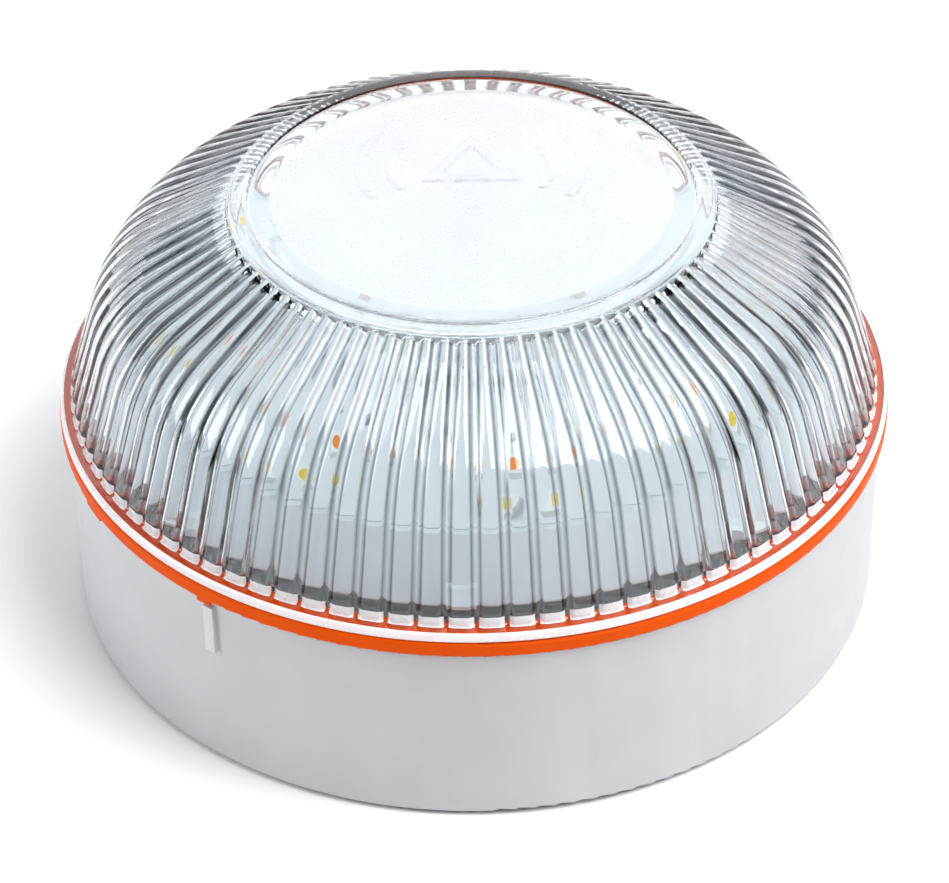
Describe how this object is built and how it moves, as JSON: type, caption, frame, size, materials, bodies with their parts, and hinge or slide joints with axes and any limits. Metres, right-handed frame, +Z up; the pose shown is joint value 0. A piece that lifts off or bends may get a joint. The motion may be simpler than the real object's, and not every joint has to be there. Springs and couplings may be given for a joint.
{
  "type": "roadside hazard beacon",
  "caption": "Round battery hazard beacon with a ribbed clear dome on a light base, an orange twist-lock ring and a sprung magnet button underneath.",
  "frame": {"origin": "middle of the surface the beacon stands on, on its own axis", "axes": "+Z up along the beacon's axis, -Y towards the front; the index rib is left of the front"},
  "size_m": [0.0954, 0.0954, 0.0506],
  "materials": {
    "housing": "satin light grey-white moulded plastic",
    "clear": "clear polished polycarbonate with a frosted window",
    "orange": "smooth bright orange silicone",
    "white": "white moulded plastic",
    "board": "white solder mask",
    "package": "white ceramic lamp package",
    "white_phosphor": "yellow phosphor fill",
    "amber_phosphor": "amber phosphor fill",
    "silicone": "clear silicone dome",
    "foot": "matt black soft rubber",
    "button": "dark grey textured plastic",
    "magnet": "nickel-plated magnet",
    "steel": "zinc-plated steel",
    "spring": "drawn spring steel",
    "acetal": "natural acetal",
    "chip": "black moulding compound",
    "ceramic": "sintered ceramic",
    "ferrite": "dark ferrite",
    "can": "drawn aluminium can",
    "battery": "printed steel battery jacket, plain",
    "contact": "tin-plated brass",
    "foam": "closed-cell foam"
  },
  "bodies": {
    "base": {"base_housing": "housing", "foot_ring": "foot", "button_bridge": "acetal", "bridge_screws": "steel", "return_spring": "spring"},
    "magnet_button": {"button_shell": "button", "ring_magnet": "magnet", "yoke_disc": "steel", "plunger_rod": "acetal", "spring_collar": "steel"},
    "lens_unit": {"lens_cover": "clear", "seal_ring": "orange", "led_carrier": "white", "led_board": "board", "board_screws": "steel", "white_led_packages": "package", "white_led_phosphors": "white_phosphor", "amber_led_packages": "package", "amber_led_phosphors": "amber_phosphor", "torch_led_packages": "package", "torch_led_domes": "silicone", "chip_resistors": "chip", "chip_capacitors": "ceramic", "controller_chip": "chip", "power_inductor": "ferrite", "storage_capacitor": "can", "switch_body": "chip", "switch_frame": "steel", "battery_case": "battery", "battery_terminals": "contact", "battery_pad": "foam", "contact_positive": "contact", "contact_negative": "contact"},
    "switch_stem": {"switch_stem": "acetal"}
  },
  "joints": [
    {"name": "lens_twist", "type": "hinge", "parent": "base", "child": "lens_unit", "pos_m": [0, 0, 0.0232], "axis": [0, 0, 1], "range_deg": [0, 25]},
    {"name": "button_press", "type": "slide", "parent": "base", "child": "magnet_button", "axis": [0, 0, 1], "range_m": [-0.0008, 0.0012], "stiffness_N_per_m": 800, "deforming": ["return_spring"]},
    {"name": "switch_stem_slide", "type": "slide", "parent": "lens_unit", "child": "switch_stem", "axis": [0, 0, 1], "range_m": [-0.0008, 0.0012]}
  ],
  "couplings": [
    {"joint": "switch_stem_slide", "follows": "button_press", "ratio": 1}
  ]
}
